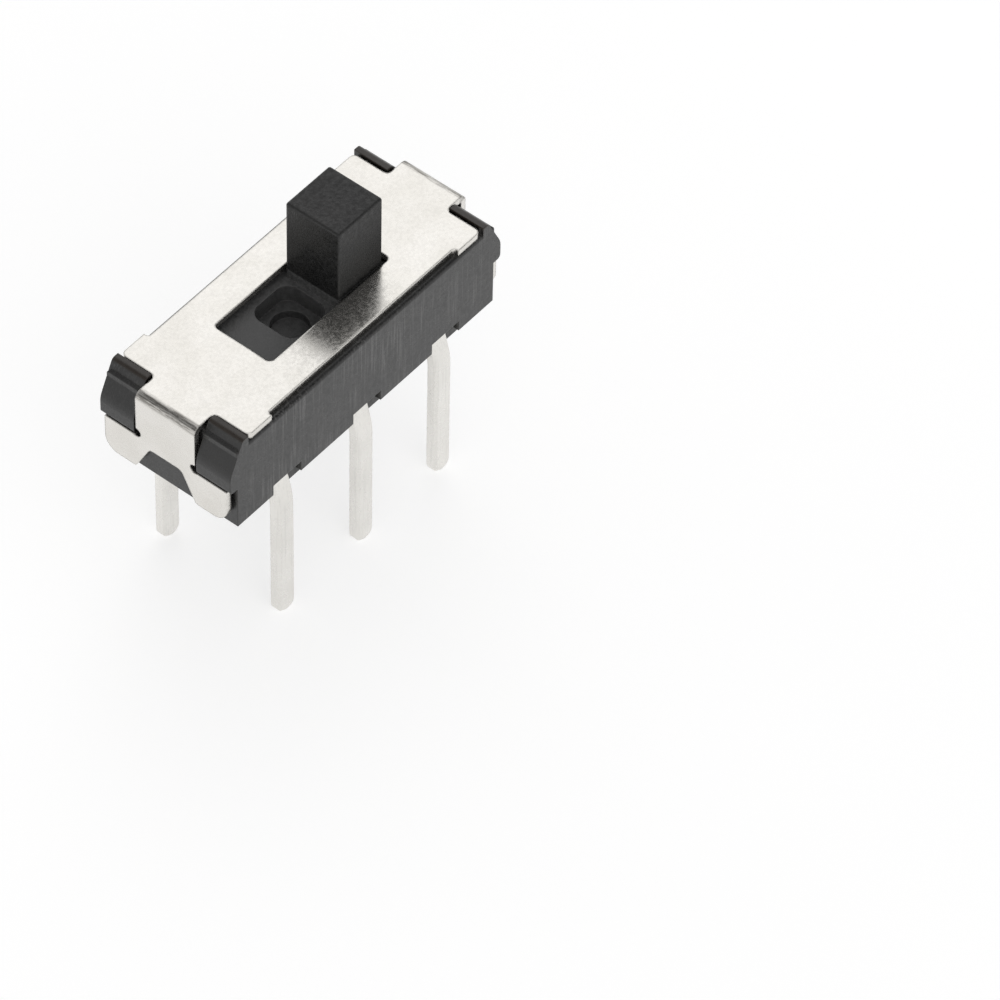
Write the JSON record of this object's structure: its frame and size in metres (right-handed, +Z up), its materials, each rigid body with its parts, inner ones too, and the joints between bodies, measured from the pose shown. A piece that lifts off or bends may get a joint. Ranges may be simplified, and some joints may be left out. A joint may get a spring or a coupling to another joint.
{
  "type": "slide switch",
  "caption": "Miniature slide switch: a square knob slides in the window of a bent metal cover over a black moulded body on flat solder legs.",
  "frame": {"origin": "centre of the rectangle that the body covers, in the plane of the leg tips", "axes": "+X along the body towards the end where the knob rests, +Y across the body towards the back row of legs, +Z up from the leg tips to the knob"},
  "size_m": [0.0086, 0.0034, 0.0083],
  "materials": {
    "cover_sheet": "bright tin-plated sheet with a fine satin grain",
    "housing_plastic": "black moulding with a fine spark-eroded grain",
    "base_plastic": "black moulding, smooth",
    "slider_plastic": "black moulding with a very fine grain",
    "leg_metal": "tin-plated copper alloy, bright satin",
    "spring_metal": "bare bronze strip"
  },
  "bodies": {
    "switch_body": {"cover": "cover_sheet", "housing": "housing_plastic", "base": "base_plastic", "terminal_front_left": "leg_metal", "terminal_front_middle": "leg_metal", "terminal_front_right": "leg_metal", "terminal_back_left": "leg_metal", "terminal_back_middle": "leg_metal", "terminal_back_right": "leg_metal"},
    "slider_unit": {"slider": "slider_plastic", "contact_front": "spring_metal", "contact_back": "spring_metal"}
  },
  "joints": [
    {"name": "slider_travel", "type": "slide", "parent": "switch_body", "child": "slider_unit", "axis": [1, 0, 0], "range_m": [-0.002, 0]}
  ]
}
